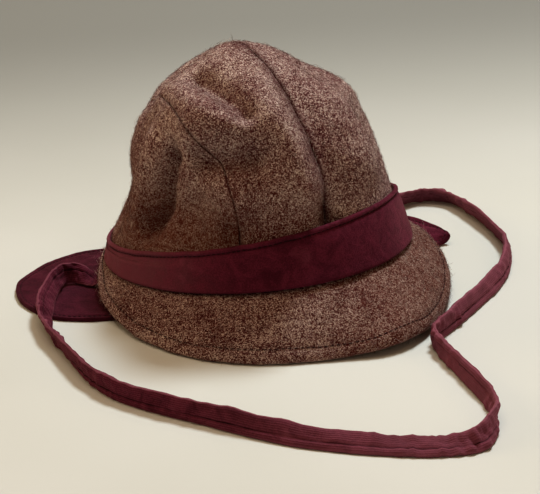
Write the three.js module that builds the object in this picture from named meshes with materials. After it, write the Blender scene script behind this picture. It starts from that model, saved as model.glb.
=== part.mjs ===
// A soft wool bonnet as it lies slumped on a table: a crown of three panels, a velvet band round its
// foot, a drooping brim, two velvet ear flaps spread outwards and one long velvet chin strap.
// Millimetres, +Z up. The front looks towards -Y, the wearer's left is +X, and the table is z = 0.
import * as THREE from 'three';

// Cloth
const GAP = 0.3; // air left between pieces that touch
const WOOL_WALL = 2.6; // felted wool of the crown
const BAND_WALL = 1.8; // velvet of the band
const BRIM_WALL = 3.6; // two layers of wool, topstitched
const FLAP_WALL = 2.4; // two layers of velvet
const STRAP_WIDTH = 11.5;
const STRAP_WALL = 2.6; // a folded tube of velvet, pressed flat

// Head opening, measured over the lower edge of the band
const HALF_BREADTH = 84;
const HALF_LENGTH = 92;
const FOOT_DRAW = 0.0028; // share by which the foot of the hat draws in for each millimetre of height

// How the hat sits: the middle of the band's lower edge, and its tilt on the table
const SEAT = { x: 8.25, y: 11.2, lift: 20.3, frontUp: 6.9, leftUp: 3.8 };

// Crown
const CROWN_INSET = BAND_WALL + GAP;
const CROWN_HELD = 2; // the band holds the crown to its oval up to here above the band's upper edge
const CROWN_FREE = 24; // from here above that edge the panels take their own form
const DOME = { breadth: 84, length: 92, springing: 60, rise: 58 }; // plain dome that gives outward directions
const RIBS = 40; // steps along a seam
const SIDE_STEPS = 13; // steps from the hem of a side panel up to its seam
const STRIP_STEPS = 8; // steps across the centre strip
const STRIP_CROWNING = 4.5; // how far the strip stands above a straight line between its seams

// The two seams from the front hem over the top to the back hem, in the hat's own frame.
// The crown has slumped to the wearer's right, so the right seam lies low and the left one is its ridge.
const SEAMS = [
  { left: [21, -86, 0], right: [-29, -84, 0] },
  { left: [20.5, -83, 30], right: [-28.5, -82, 26] },
  { left: [19.5, -82, 51], right: [-29, -82.5, 48] },
  { left: [15, -78, 71], right: [-36, -79, 67.5] },
  { left: [10, -65.5, 90.5], right: [-43.5, -68, 80.5] },
  { left: [6, -44, 104], right: [-45.5, -47, 88.5] },
  { left: [0, -20, 113.5], right: [-46.5, -20, 90.5] },
  { left: [-3, 8, 112.5], right: [-49, 2, 88.5] },
  { left: [-2, 33, 102], right: [-48.5, 25, 83] },
  { left: [2, 57, 81], right: [-44.5, 45, 71] },
  { left: [9, 72, 56], right: [-39.5, 61, 52] },
  { left: [14, 80, 28], right: [-34, 73, 28] },
  { left: [16.5, 87, 0], right: [-30, 83, 0] },
];

// Fullness of each side panel: how far it rises from the hem and reaches out from the seam, as shares of
// the straight distance between them, and how far that reach droops, in degrees.
const SIDES = {
  left: { rise: 0.42, shoulder: 0.43, droop: 14, lean: 0.0012 },
  right: { rise: 0.34, shoulder: 0.32, droop: 20, lean: 0.0046 },
};

// Folds of the slumped cloth, in the hat's frame: a valley (or, with depth below zero, a ridge) along a line.
const FOLDS = [
  { name: 'hollow in the right panel', from: [-58, -58, 66], to: [-60, -62, 40], width: 15, depth: 6 },
  { name: 'crease across the strip', from: [-16, -44, 99], to: [-6, -58, 90], width: 10, depth: 4 },
  { name: 'hollow below the brow', from: [-32, -82, 66], to: [-8, -84, 62], width: 17, depth: 4 },
  { name: 'brow ridge', from: [-42, -60, 84], to: [-22, -68, 84], width: 12, depth: -3 },
  { name: 'valley beside the left seam', from: [26, -66, 82], to: [33, -78, 50], width: 13, depth: 3 },
  { name: 'dip between top and left shoulder', from: [34, -18, 98], to: [33, 6, 98], width: 14, depth: 3.5 },
  { name: 'left shoulder', from: [54, -12, 82], to: [52, 6, 84], width: 16, depth: -2 },
];

// Round the foot, by angle from the front towards the wearer's left: height of the band, how far the brim
// reaches out beyond it, and the height of the brim's edge above the table.
const ROUND = [
  { angle: -180, band: 12, brim: 3.5, edge: 2.6 },
  { angle: -150, band: 11, brim: 3, edge: 4 },
  { angle: -122, band: 10, brim: 2.5, edge: 9.2 },
  { angle: -104, band: 10.5, brim: 2.6, edge: 11.6 },
  { angle: -90, band: 12.5, brim: 6, edge: 9.8 },
  { angle: -76, band: 14.5, brim: 11.5, edge: 7.2 },
  { angle: -50, band: 18.5, brim: 20, edge: 3.2 },
  { angle: -25, band: 22, brim: 25.5, edge: 2.4 },
  { angle: 0, band: 25.5, brim: 26, edge: 2.4 },
  { angle: 25, band: 28, brim: 27, edge: 2.4 },
  { angle: 42, band: 28.5, brim: 28, edge: 3 },
  { angle: 57, band: 28, brim: 25, edge: 5 },
  { angle: 75, band: 25.5, brim: 21.5, edge: 9.2 },
  { angle: 95, band: 20.5, brim: 18.5, edge: 12 },
  { angle: 112, band: 16, brim: 11, edge: 13.5 },
  { angle: 130, band: 13.5, brim: 6, edge: 11 },
  { angle: 152, band: 12.5, brim: 4, edge: 4.6 },
];
const ROUND_STEPS = 72;
const BAND_FULLNESS = 0.4; // how far the band bellies out at half its height
const BRIM_STEPS = 5;
const BRIM_ROOT = 2.4; // how far the brim tucks in under the lower edge of the band
const BRIM_SPRING = { out: 0.6, down: 0.38 }; // corner of the brim's curve, as shares of its reach and drop
const BRIM_ROLL = 1.2; // how far the folded edge of the brim stands out

// Ear flap, by angle round the head: how far its outline reaches beyond the band's lower edge
const FLAP = [
  { angle: 64, reach: 1 },
  { angle: 67, reach: 13 },
  { angle: 70, reach: 24 },
  { angle: 76, reach: 40 },
  { angle: 86, reach: 49 },
  { angle: 95, reach: 49.5 },
  { angle: 102, reach: 43 },
  { angle: 114, reach: 28 },
  { angle: 121, reach: 14 },
  { angle: 126, reach: 2 },
];
const FLAP_LEAST = -2; // the outline stays this near to the band's lower edge at its two corners
const FLAP_STEPS = { along: 24, out: 9 };
const FLAP_TAB = { top: 5, bottom: -4 }; // tab sewn inside the hem, in the hat's frame
const FLAP_TAB_INSET = CROWN_INSET + WOOL_WALL + 2 * GAP + FLAP_WALL / 2;
// How each flap lies: turned back by some degrees, shorter in plan where its hem stands higher, the distance
// beyond the band where it levels out, its height there, and where and how strongly its tip curls up.
const FLAPS = {
  left: { side: 1, turned: 12, shorter: 15, level: 6, height: 3, curlFrom: 18, curl: 0.03 },
  right: { side: -1, turned: 0, shorter: 0, level: 1, height: 0, curlFrom: 38, curl: 0.006 },
};

// Chin strap, from the wearer's right ear round the front to the left ear: places on the table measured from
// below the middle of the band, the turn of the strap about its length (0 flat, 90 on edge) and the height
// of what it lies on.
const STRAP = [
  { x: -87.4, y: 3, turn: 0, bed: 3 },
  { x: -91.5, y: 4.8, turn: 6, bed: 3 },
  { x: -96.5, y: 7, turn: 46, bed: 3.2 },
  { x: -102, y: 9, turn: 72, bed: 3.2 },
  { x: -107.5, y: 7.5, turn: 72, bed: 3.2 },
  { x: -112.5, y: 0.5, turn: 64, bed: 3.2 },
  { x: -117.5, y: -11.5, turn: 52, bed: 3.3 },
  { x: -121.5, y: -24.5, turn: 46, bed: 3.2 },
  { x: -124, y: -37, turn: 48, bed: 2.2 },
  { x: -124.3, y: -47, turn: 56, bed: 0.6 },
  { x: -123.8, y: -58, turn: 64, bed: 0.2 },
  { x: -121.2, y: -72, turn: 70, bed: 0.2 },
  { x: -112.5, y: -112.5, turn: 81, bed: 0.2 },
  { x: -103, y: -133, turn: 86, bed: 0.2 },
  { x: -88.8, y: -149, turn: 90, bed: 0.2 },
  { x: -68.4, y: -167, turn: 90, bed: 0.2 },
  { x: -28, y: -198.6, turn: 90, bed: 0.2 },
  { x: 13.7, y: -217, turn: 89, bed: 0.2 },
  { x: 38, y: -222.5, turn: 86, bed: 0.2 },
  { x: 50, y: -221, turn: 83, bed: 0.2 },
  { x: 59, y: -211, turn: 80, bed: 0.2 },
  { x: 64, y: -199, turn: 78, bed: 0.2 },
  { x: 66.3, y: -183, turn: 77, bed: 0.2 },
  { x: 64.8, y: -142, turn: 82, bed: 0.2 },
  { x: 64.5, y: -122, turn: 88, bed: 0.2 },
  { x: 66.5, y: -109.5, turn: 93, bed: 0.2 },
  { x: 75, y: -101, turn: 98, bed: 0.2 },
  { x: 88.5, y: -86, turn: 112, bed: 0.2 },
  { x: 122, y: -48.5, turn: 122, bed: 0.2 },
  { x: 137, y: -25.5, turn: 126, bed: 0.2 },
  { x: 147, y: 4, turn: 134, bed: 0.2 },
  { x: 143.5, y: 66, turn: 138, bed: 0.2 },
  { x: 137, y: 82, turn: 126, bed: 0.2 },
  { x: 124, y: 87, turn: 118, bed: 0.2 },
  { x: 109, y: 83, turn: 122, bed: 0.2 },
  { x: 97, y: 80, turn: 135, bed: 0.4 },
  { x: 90.5, y: 73, turn: 152, bed: 3.4 },
  { x: 89, y: 62, turn: 170, bed: 6.3 },
  { x: 89.5, y: 48, turn: 180, bed: 6.5 },
  { x: 91.5, y: 33, turn: 180, bed: 6.1 },
];
const STRAP_STEPS = 80;
const STRAP_ROUNDING = 0.8; // how far the folded edges of the strap are rounded off

const COLOURS = { wool: 0x6f5650, velvet: 0x55202f };
const ROUGHNESS = 0.95;
const LEAST_EDGE = 0.002; // points nearer than this are one corner

const vec = (x, y, z) => new THREE.Vector3(x, y, z);
const radians = THREE.MathUtils.degToRad;
const { lerp, smoothstep } = THREE.MathUtils;
const UP = vec(0, 0, 1);
const cloth = (color) => new THREE.MeshStandardMaterial({ color, roughness: ROUGHNESS, metalness: 0 });

// The hat's own frame: the middle of the band's lower edge, with Z up the axis of the head.
const hat = new THREE.Group();
hat.position.set(SEAT.x, SEAT.y, SEAT.lift);
hat.rotation.set(-radians(SEAT.frontUp), -radians(SEAT.leftUp), 0);
hat.updateMatrixWorld(true);
const toTable = (point) => hat.localToWorld(point.clone());
const fromTable = (point) => hat.worldToLocal(point.clone());

const bonnet = new THREE.Group();
bonnet.add(hat);

// A closed mesh from points and quads, with its faces turned outwards.
function closedMesh(name, colour, points, quads) {
  const index = [];
  const apart = (a, b) => points[a].distanceTo(points[b]) > LEAST_EDGE;
  for (const [a, b, c, d] of quads) {
    for (const [p, q, r] of [[a, b, c], [a, c, d]]) {
      if (apart(p, q) && apart(q, r) && apart(r, p)) index.push(p, q, r);
    }
  }
  let volume = 0;
  for (let i = 0; i < index.length; i += 3) {
    const [a, b, c] = [points[index[i]], points[index[i + 1]], points[index[i + 2]]];
    volume += a.dot(b.clone().cross(c));
  }
  if (volume < 0) index.reverse();
  const geometry = new THREE.BufferGeometry().setFromPoints(points);
  geometry.setIndex(index);
  geometry.computeVertexNormals();
  const mesh = new THREE.Mesh(geometry, cloth(colour));
  mesh.name = name;
  return mesh;
}

// A cloth wall between two equal grids of points, its outer and its inner face.
function clothWall(name, colour, outer, inner) {
  const columns = outer.length;
  const rows = outer[0].length;
  const points = [...outer.flat(), ...inner.flat()];
  const out = (i, j) => i * rows + j;
  const within = (i, j) => columns * rows + i * rows + j;
  const quads = [];
  for (let i = 0; i + 1 < columns; i += 1) {
    for (let j = 0; j + 1 < rows; j += 1) {
      quads.push([out(i, j), out(i + 1, j), out(i + 1, j + 1), out(i, j + 1)]);
      quads.push([within(i, j), within(i, j + 1), within(i + 1, j + 1), within(i + 1, j)]);
    }
    const last = rows - 1;
    quads.push([out(i, 0), within(i, 0), within(i + 1, 0), out(i + 1, 0)]);
    quads.push([out(i, last), out(i + 1, last), within(i + 1, last), within(i, last)]);
  }
  for (let j = 0; j + 1 < rows; j += 1) {
    const last = columns - 1;
    quads.push([out(0, j), out(0, j + 1), within(0, j + 1), within(0, j)]);
    quads.push([out(last, j), within(last, j), within(last, j + 1), out(last, j + 1)]);
  }
  return closedMesh(name, colour, points, quads);
}

// A ring made of equal closed sections, one for each step round the head.
function clothRing(name, colour, sections) {
  const rows = sections[0].length;
  const quads = [];
  sections.forEach((section, i) => {
    const next = (i + 1) % sections.length;
    for (let j = 0; j < rows; j += 1) {
      const k = (j + 1) % rows;
      quads.push([i * rows + j, next * rows + j, next * rows + k, i * rows + k]);
    }
  });
  return closedMesh(name, colour, sections.flat(), quads);
}

// A point of the hat's foot: an oval that draws in with height, less an inset.
function foot(angle, height, inset = 0) {
  const draw = 1 - FOOT_DRAW * height;
  const x = (HALF_BREADTH * draw - inset) * Math.sin(angle);
  const y = -(HALF_LENGTH * draw - inset) * Math.cos(angle);
  return vec(x, y, height);
}

// Smooth value of one column of the ROUND table at an angle in degrees.
function round(column, degrees) {
  const count = ROUND.length;
  const turned = THREE.MathUtils.euclideanModulo(degrees + 180, 360) - 180;
  let row = count - 1;
  while (ROUND[row].angle > turned) row -= 1;
  const at = (k) => ROUND[(k + count) % count][column];
  const next = row + 1 < count ? ROUND[row + 1].angle : ROUND[0].angle + 360;
  const share = (turned - ROUND[row].angle) / (next - ROUND[row].angle);
  const slopeHere = (at(row + 1) - at(row - 1)) / 2;
  const slopeNext = (at(row + 2) - at(row)) / 2;
  const hermite = new THREE.CubicBezierCurve(
    new THREE.Vector2(0, at(row)),
    new THREE.Vector2(1 / 3, at(row) + slopeHere / 3),
    new THREE.Vector2(2 / 3, at(row + 1) - slopeNext / 3),
    new THREE.Vector2(1, at(row + 1)),
  );
  return hermite.getPoint(share).y;
}

// Outward direction of the plain dome that the crown would be if it stood full.
function outward(point) {
  const above = Math.max(0, point.z - DOME.springing);
  return vec(point.x / DOME.breadth ** 2, point.y / DOME.length ** 2, above / DOME.rise ** 2).normalize();
}

// The band holds the crown's lower cloth to its oval.
function heldByBand(point) {
  const draw = 1 - FOOT_DRAW * point.z;
  const breadth = HALF_BREADTH * draw - CROWN_INSET;
  const length = HALF_LENGTH * draw - CROWN_INSET;
  const toOval = 1 / Math.hypot(point.x / breadth, point.y / length);
  const angle = THREE.MathUtils.radToDeg(Math.atan2(point.x / breadth, -point.y / length));
  const bandTop = round('band', angle);
  const hold = lerp(toOval, 1, smoothstep(point.z, bandTop + CROWN_HELD, bandTop + CROWN_FREE));
  return vec(point.x * hold, point.y * hold, point.z);
}

// Folds press the cloth in or lift it out, each fading with distance from its line.
const foldLines = FOLDS.map(({ from, to, width, depth }) => {
  return { line: new THREE.Line3(vec(...from), vec(...to)), width, depth };
});

function slumped(point) {
  const near = vec(0, 0, 0);
  let press = 0;
  for (const { line, width, depth } of foldLines) {
    line.closestPointToPoint(point, true, near);
    press += depth * Math.exp(-((near.distanceTo(point) / width) ** 2));
  }
  const moved = point.clone().addScaledVector(outward(point), -press);
  return heldByBand(moved);
}

const inside = (point) => point.clone().addScaledVector(outward(point), -WOOL_WALL);
const crownWall = (name, grid) => {
  const outer = grid.map((column) => column.map(slumped));
  const inner = outer.map((column) => column.map(inside));
  return clothWall(name, COLOURS.wool, outer, inner);
};

// A seam: its points, and the way across it towards the side panel.
function seamLine(column) {
  const curve = new THREE.CatmullRomCurve3(SEAMS.map((row) => vec(...row[column])), false, 'centripetal');
  const side = column === 'left' ? 1 : -1;
  const stations = [];
  for (let i = 0; i <= RIBS; i += 1) {
    const point = curve.getPointAt(i / RIBS);
    const across = curve.getTangentAt(i / RIBS).cross(outward(point)).normalize().multiplyScalar(side);
    stations.push({ point, across });
  }
  return stations;
}

const seams = { left: seamLine('left'), right: seamLine('right') };

// The centre strip spans the two seams, a little crowned between them.
function centreStrip() {
  const grid = seams.left.map((left, i) => {
    const right = seams.right[i];
    const start = right.point.clone().addScaledVector(right.across, -GAP / 2);
    const end = left.point.clone().addScaledVector(left.across, -GAP / 2);
    const column = [];
    for (let j = 0; j <= STRIP_STEPS; j += 1) {
      const share = j / STRIP_STEPS;
      const point = start.clone().lerp(end, share);
      column.push(point.addScaledVector(outward(point), STRIP_CROWNING * 4 * share * (1 - share)));
    }
    return column;
  });
  return crownWall('crown_centre', grid);
}

// A side panel: ribs that rise from the hem and bend over to the seam.
function sidePanel(name, column) {
  const { rise, shoulder, droop, lean } = SIDES[column];
  const seam = seams[column];
  const angleAt = ({ point }) => Math.atan2(point.x / HALF_BREADTH, -point.y / HALF_LENGTH);
  const first = angleAt(seam[0]);
  const last = angleAt(seam[RIBS]);
  const grid = seam.map(({ point, across }, i) => {
    const top = point.clone().addScaledVector(across, GAP / 2);
    const hem = i === 0 || i === RIBS ? top : foot(lerp(first, last, i / RIBS), 0, CROWN_INSET);
    const span = hem.distanceTo(top);
    const wall = 1 - lean * rise * span;
    const above = vec(hem.x * wall, hem.y * wall, hem.z + rise * span);
    const reach = across.clone().multiplyScalar(Math.cos(radians(droop)));
    reach.addScaledVector(outward(point), -Math.sin(radians(droop)));
    const beside = top.clone().addScaledVector(reach, shoulder * span);
    return new THREE.CubicBezierCurve3(hem, above, beside, top).getPoints(SIDE_STEPS);
  });
  return crownWall(name, grid);
}

hat.add(centreStrip());
hat.add(sidePanel('crown_side_left', 'left'));
hat.add(sidePanel('crown_side_right', 'right'));

const degreesRound = Array.from({ length: ROUND_STEPS }, (_, i) => (360 * i) / ROUND_STEPS);

// The band: a flared ring of velvet with its lower edge free.
function band() {
  const sections = degreesRound.map((degrees) => {
    const angle = radians(degrees);
    const top = round('band', degrees);
    return [
      foot(angle, 0, 0),
      foot(angle, top / 2, -BAND_FULLNESS),
      foot(angle, top, 0),
      foot(angle, top, BAND_WALL),
      foot(angle, 0, BAND_WALL),
    ];
  });
  return clothRing('band', COLOURS.velvet, sections);
}

// The brim: it leaves the hem under the band, bends over and droops to its folded edge.
function brim() {
  const sections = degreesRound.map((degrees) => {
    const angle = radians(degrees);
    const root = foot(angle, -GAP, BRIM_ROOT);
    const rim = toTable(foot(angle, 0, -round('brim', degrees)));
    const edge = fromTable(vec(rim.x, rim.y, round('edge', degrees)));
    const spring = vec(
      lerp(root.x, edge.x, BRIM_SPRING.out),
      lerp(root.y, edge.y, BRIM_SPRING.out),
      lerp(root.z, edge.z, BRIM_SPRING.down),
    );
    const curve = new THREE.QuadraticBezierCurve3(root, spring, edge);
    const along = vec(Math.cos(angle), Math.sin(angle), 0);
    const upper = curve.getPoints(BRIM_STEPS);
    const lower = upper.map((point, i) => {
      const slope = curve.getTangent(i / BRIM_STEPS);
      const above = slope.cross(along).normalize();
      if (above.z < 0) above.negate();
      return point.clone().addScaledVector(above, -BRIM_WALL);
    });
    const fold = upper[BRIM_STEPS].clone().add(lower[BRIM_STEPS]).multiplyScalar(0.5);
    fold.addScaledVector(curve.getTangent(1), BRIM_ROLL);
    return [...upper, fold, ...lower.reverse()];
  });
  return clothRing('brim', COLOURS.wool, sections);
}

hat.add(band());
hat.add(brim());

// Distance of a point on the table beyond the band's lower edge, measured along its ray from the middle.
function beyondBand(x, y) {
  const share = Math.hypot(x / HALF_BREADTH, y / HALF_LENGTH);
  return Math.hypot(x, y) * (1 - 1 / share);
}

// An ear flap: sewn inside the hem as a tab, it turns out under the brim and lies on the table.
function earFlap(name, { side, turned, shorter, level, height, curlFrom, curl }) {
  const angleOf = (row) => radians(row.angle + turned) * side;
  const outline = FLAP.map((row) => foot(angleOf(row), 0, -Math.max(FLAP_LEAST, row.reach - shorter)));
  const curve = new THREE.CatmullRomCurve3(outline, false, 'centripetal');
  const { along, out } = FLAP_STEPS;
  const first = angleOf(FLAP[0]);
  const last = angleOf(FLAP[FLAP.length - 1]);
  const middle = [];
  for (let i = 0; i <= along; i += 1) {
    const angle = lerp(first, last, i / along);
    const tabTop = toTable(foot(angle, FLAP_TAB.top, FLAP_TAB_INSET));
    const tabBottom = toTable(foot(angle, FLAP_TAB.bottom, FLAP_TAB_INSET));
    const tip = curve.getPointAt(i / along);
    const column = [tabTop, tabBottom];
    for (let j = 1; j <= out; j += 1) {
      const x = lerp(tabBottom.x, tip.x + SEAT.x, j / out);
      const y = lerp(tabBottom.y, tip.y + SEAT.y, j / out);
      const beyond = beyondBand(x - SEAT.x, y - SEAT.y);
      const down = Math.min(1, (beyond + FLAP_TAB_INSET) / (level + FLAP_TAB_INSET));
      const lift = curl * Math.max(0, beyond - curlFrom) ** 2;
      column.push(vec(x, y, lerp(tabBottom.z, height + FLAP_WALL / 2, down) + lift));
    }
    middle.push(column);
  }
  const rows = out + 1;
  const normalAt = (i, j) => {
    const ahead = middle[Math.min(along, i + 1)][j].clone().sub(middle[Math.max(0, i - 1)][j]);
    const outwards = middle[i][Math.min(rows, j + 1)].clone().sub(middle[i][Math.max(0, j - 1)]);
    return outwards.cross(ahead).normalize();
  };
  const face = (offset) => middle.map((column, i) => {
    return column.map((point, j) => point.clone().addScaledVector(normalAt(i, j), offset));
  });
  return clothWall(name, COLOURS.velvet, face(FLAP_WALL / 2), face(-FLAP_WALL / 2));
}

bonnet.add(earFlap('ear_flap_left', FLAPS.left));
bonnet.add(earFlap('ear_flap_right', FLAPS.right));

// The strap's route: it turns about its own length as the STRAP table says.
class StrapRoute extends THREE.CatmullRomCurve3 {
  constructor(rows) {
    const centres = rows.map(({ x, y, turn, bed }) => {
      const tilt = radians(turn);
      const height = STRAP_WIDTH * Math.abs(Math.sin(tilt)) + STRAP_WALL * Math.abs(Math.cos(tilt));
      return vec(x + SEAT.x, y + SEAT.y, bed + height / 2);
    });
    super(centres, false, 'centripetal');
    this.turns = rows.map((row) => row.turn);
  }

  computeFrenetFrames(segments) {
    const frames = { tangents: [], normals: [], binormals: [] };
    for (let i = 0; i <= segments; i += 1) {
      const share = this.getUtoTmapping(i / segments);
      const place = share * (this.turns.length - 1);
      const row = Math.min(Math.floor(place), this.turns.length - 2);
      const turn = radians(lerp(this.turns[row], this.turns[row + 1], place - row));
      const tangent = this.getTangent(share);
      const level = tangent.clone().cross(UP).normalize();
      const across = level.clone().multiplyScalar(Math.cos(turn)).addScaledVector(UP, Math.sin(turn));
      frames.tangents.push(tangent);
      frames.normals.push(across);
      frames.binormals.push(tangent.clone().cross(across).normalize());
    }
    return frames;
  }
}

function chinStrap() {
  const half = { width: STRAP_WIDTH / 2, wall: STRAP_WALL / 2 };
  const flat = { width: half.width - STRAP_ROUNDING, wall: half.wall - STRAP_ROUNDING };
  const section = new THREE.Shape();
  section.moveTo(half.width, -flat.wall);
  section.lineTo(half.width, flat.wall);
  section.lineTo(flat.width, half.wall);
  section.lineTo(-flat.width, half.wall);
  section.lineTo(-half.width, flat.wall);
  section.lineTo(-half.width, -flat.wall);
  section.lineTo(-flat.width, -half.wall);
  section.lineTo(flat.width, -half.wall);
  section.closePath();
  const extrudePath = new StrapRoute(STRAP);
  const geometry = new THREE.ExtrudeGeometry(section, { extrudePath, steps: STRAP_STEPS });
  const mesh = new THREE.Mesh(geometry, cloth(COLOURS.velvet));
  mesh.name = 'chin_strap';
  return mesh;
}

bonnet.add(chinStrap());

export default bonnet;
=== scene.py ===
"""A soft felted-wool bonnet with velvet trim, lying slumped on a pale table."""

import math

import bpy
import numpy as np
from mathutils import Matrix, Vector, noise
from mathutils.bvhtree import BVHTree
from mathutils.kdtree import KDTree


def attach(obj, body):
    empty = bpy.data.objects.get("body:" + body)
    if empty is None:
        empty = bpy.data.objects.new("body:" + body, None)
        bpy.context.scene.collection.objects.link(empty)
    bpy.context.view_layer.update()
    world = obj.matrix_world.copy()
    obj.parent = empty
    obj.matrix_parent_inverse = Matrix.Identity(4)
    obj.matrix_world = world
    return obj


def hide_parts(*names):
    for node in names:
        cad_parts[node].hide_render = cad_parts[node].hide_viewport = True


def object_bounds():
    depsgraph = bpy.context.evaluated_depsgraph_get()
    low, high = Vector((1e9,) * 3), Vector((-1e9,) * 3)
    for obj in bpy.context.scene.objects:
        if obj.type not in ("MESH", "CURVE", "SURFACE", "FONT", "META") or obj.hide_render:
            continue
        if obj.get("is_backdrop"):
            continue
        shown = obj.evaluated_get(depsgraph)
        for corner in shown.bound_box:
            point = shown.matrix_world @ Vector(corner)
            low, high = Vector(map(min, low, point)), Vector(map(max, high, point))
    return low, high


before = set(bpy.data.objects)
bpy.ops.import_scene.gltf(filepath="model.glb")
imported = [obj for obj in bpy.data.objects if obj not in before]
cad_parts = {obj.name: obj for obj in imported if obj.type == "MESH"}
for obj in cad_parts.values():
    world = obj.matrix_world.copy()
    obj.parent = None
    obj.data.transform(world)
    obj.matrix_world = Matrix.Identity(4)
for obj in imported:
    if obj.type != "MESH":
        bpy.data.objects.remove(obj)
cad_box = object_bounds()

# Table, light and camera
# The bonnet lies on a pale cream table top. Window light falls from behind it on the wearer's left, warm room
# light from above and, weakly, from the sides and the front; the camera looks from the front and right.
MM = 0.001
AIM = Vector((-7.75, -81.2, 55)) * MM
AZIMUTH = math.radians(-14)
ELEVATION = math.radians(22)
DISTANCE = 950 * MM
NEAREST_SEEN = 50 * MM
PICTURE_WIDTH = 540
FOCAL_PIXELS = 1900
SENSOR = 36.0
TABLE_SIZE = 9.0
TABLE_COLOUR = (0.60, 0.61, 0.57, 1)
TABLE_SHADE = (0.57, 0.58, 0.535, 1)
# Painted shade: the table greys far behind the bonnet, where less light reaches it.
TABLE_FAR_SHADE = (0.215, 0.218, 0.200, 1)
TABLE_FAR_AT = 0.55
TABLE_CLOUDS = 4.0
TABLE_GRAIN = 900.0
TABLE_GRAIN_DEPTH = 0.2 * MM
ROOM_GLOW = (1.0, 0.62, 0.36, 1)
ROOM_STRENGTH = 0.21

# Each light: its place, its power in watts, the width of its square and its colour.
LIGHTS = {
    "window": ((0.60, 0.66, 1.74), 29.6, 0.4, (0.89, 0.965, 1.0)),
    "ceiling": ((-0.35, 0.05, 2.1), 10, 1.2, (1.0, 0.84, 0.64)),
    "lamp": ((1.5, 0.3, 1.15), 1.2, 0.2, (1.0, 0.78, 0.54)),
    "left_fill": ((-1.6, 0.6, 0.8), 6.9, 0.8, (1.0, 0.77, 0.50)),
    "front_fill": ((0.1, -1.7, 0.9), 2.2, 0.9, (1.0, 0.86, 0.74)),
}


class Wire:
    """A socket in a shader tree; arithmetic on it adds the Math nodes that the expression needs."""

    def __init__(self, tree, socket=None):
        self.tree = tree
        self.socket = socket

    def node(self, kind, settings=None, values=None, output=0):
        made = self.tree.nodes.new(kind)
        for name, value in (settings or {}).items():
            if name == "stops":
                self.fill_ramp(made.color_ramp, value)
            else:
                setattr(made, name, value)
        for name, value in (values or {}).items():
            if isinstance(value, Wire):
                self.tree.links.new(value.socket, made.inputs[name])
            else:
                made.inputs[name].default_value = value
        return Wire(self.tree, made.outputs[output]) if made.outputs else None

    def fill_ramp(self, ramp, stops):
        while len(ramp.elements) < len(stops):
            ramp.elements.new(1.0)
        for element, (place, colour) in zip(ramp.elements, stops):
            element.position = place
            element.color = colour

    def math(self, operation, first, second):
        return self.node("ShaderNodeMath", {"operation": operation}, {0: first, 1: second})

    def __add__(self, other):
        return self.math("ADD", self, other)

    def __radd__(self, other):
        return self.math("ADD", other, self)

    def __sub__(self, other):
        return self.math("SUBTRACT", self, other)

    def __rsub__(self, other):
        return self.math("SUBTRACT", other, self)

    def __mul__(self, other):
        return self.math("MULTIPLY", self, other)

    def __rmul__(self, other):
        return self.math("MULTIPLY", other, self)

    def mix(self, low, high):
        """The colour between low and high at this share."""
        return self.node(
            "ShaderNodeMix", {"data_type": "RGBA"}, {0: self, 6: low, 7: high}, output=2
        )

    def between(self, low, high):
        """This value's place between low and high, smoothed and kept from 0 to 1."""
        return self.node(
            "ShaderNodeMapRange",
            {"interpolation_type": "SMOOTHSTEP"},
            {"Value": self, "From Min": low, "From Max": high},
        )

    def noise(self, scale, detail=2.0, roughness=0.5, distortion=0.0):
        """Noise read at this point; scale is in features to the metre."""
        values = {"Vector": self, "Scale": scale, "Detail": detail}
        values.update({"Roughness": roughness, "Distortion": distortion})
        return self.node("ShaderNodeTexNoise", None, values)


def new_material(name):
    """An empty node material, as a wire to start from and its finished-surface function."""
    material = bpy.data.materials.new(name)
    material.use_nodes = True
    tree = material.node_tree
    tree.nodes.clear()
    start = Wire(tree)

    def finish(values, height=None, depth=0.0, strength=1.0):
        if height is not None:
            bump = {"Height": height, "Distance": depth, "Strength": strength}
            values["Normal"] = start.node("ShaderNodeBump", None, bump)
        surface = start.node("ShaderNodeBsdfPrincipled", None, values)
        start.node("ShaderNodeOutputMaterial", None, {"Surface": surface})
        return material

    return start, finish


def table_paint():
    """Cream paint with faint clouds, and painted shade greying it far behind the bonnet."""
    start, finish = new_material("table_paint")
    place = start.node("ShaderNodeTexCoord", output="Object")
    cloud = place.noise(TABLE_CLOUDS, 3.0).between(0.35, 0.65)
    grain = place.noise(TABLE_GRAIN, 2.0)
    behind = start.node("ShaderNodeSeparateXYZ", None, {"Vector": place}, output="Y")
    colour = behind.between(0.0, TABLE_FAR_AT).mix(cloud.mix(TABLE_SHADE, TABLE_COLOUR), TABLE_FAR_SHADE)
    return finish({"Base Color": colour, "Roughness": 0.62}, grain, TABLE_GRAIN_DEPTH, 0.15)


bpy.ops.object.select_all(action="DESELECT")
bpy.ops.mesh.primitive_plane_add(size=TABLE_SIZE, location=(0, 0, 0))
table = bpy.context.object
table.name = "table"
table.data.materials.append(table_paint())
table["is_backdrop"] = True

back = Vector((
    math.sin(AZIMUTH) * math.cos(ELEVATION),
    -math.cos(AZIMUTH) * math.cos(ELEVATION),
    math.sin(ELEVATION),
))
facing = back.to_track_quat("Z", "Y").to_euler()
bpy.ops.object.camera_add(location=AIM + back * DISTANCE, rotation=facing)
camera = bpy.context.object
camera.data.sensor_width = SENSOR
camera.data.lens = FOCAL_PIXELS * SENSOR / PICTURE_WIDTH
camera.data.clip_start = NEAREST_SEEN
bpy.context.scene.camera = camera


def area_light(name, place, power, size, colour):
    """A soft square light at a place, turned to the bonnet."""
    turn = Vector(place).to_track_quat("Z", "Y").to_euler()
    bpy.ops.object.light_add(type="AREA", location=place, rotation=turn)
    light = bpy.context.object
    light.name = name
    light.data.energy = power
    light.data.size = size
    light.data.color = colour


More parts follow.
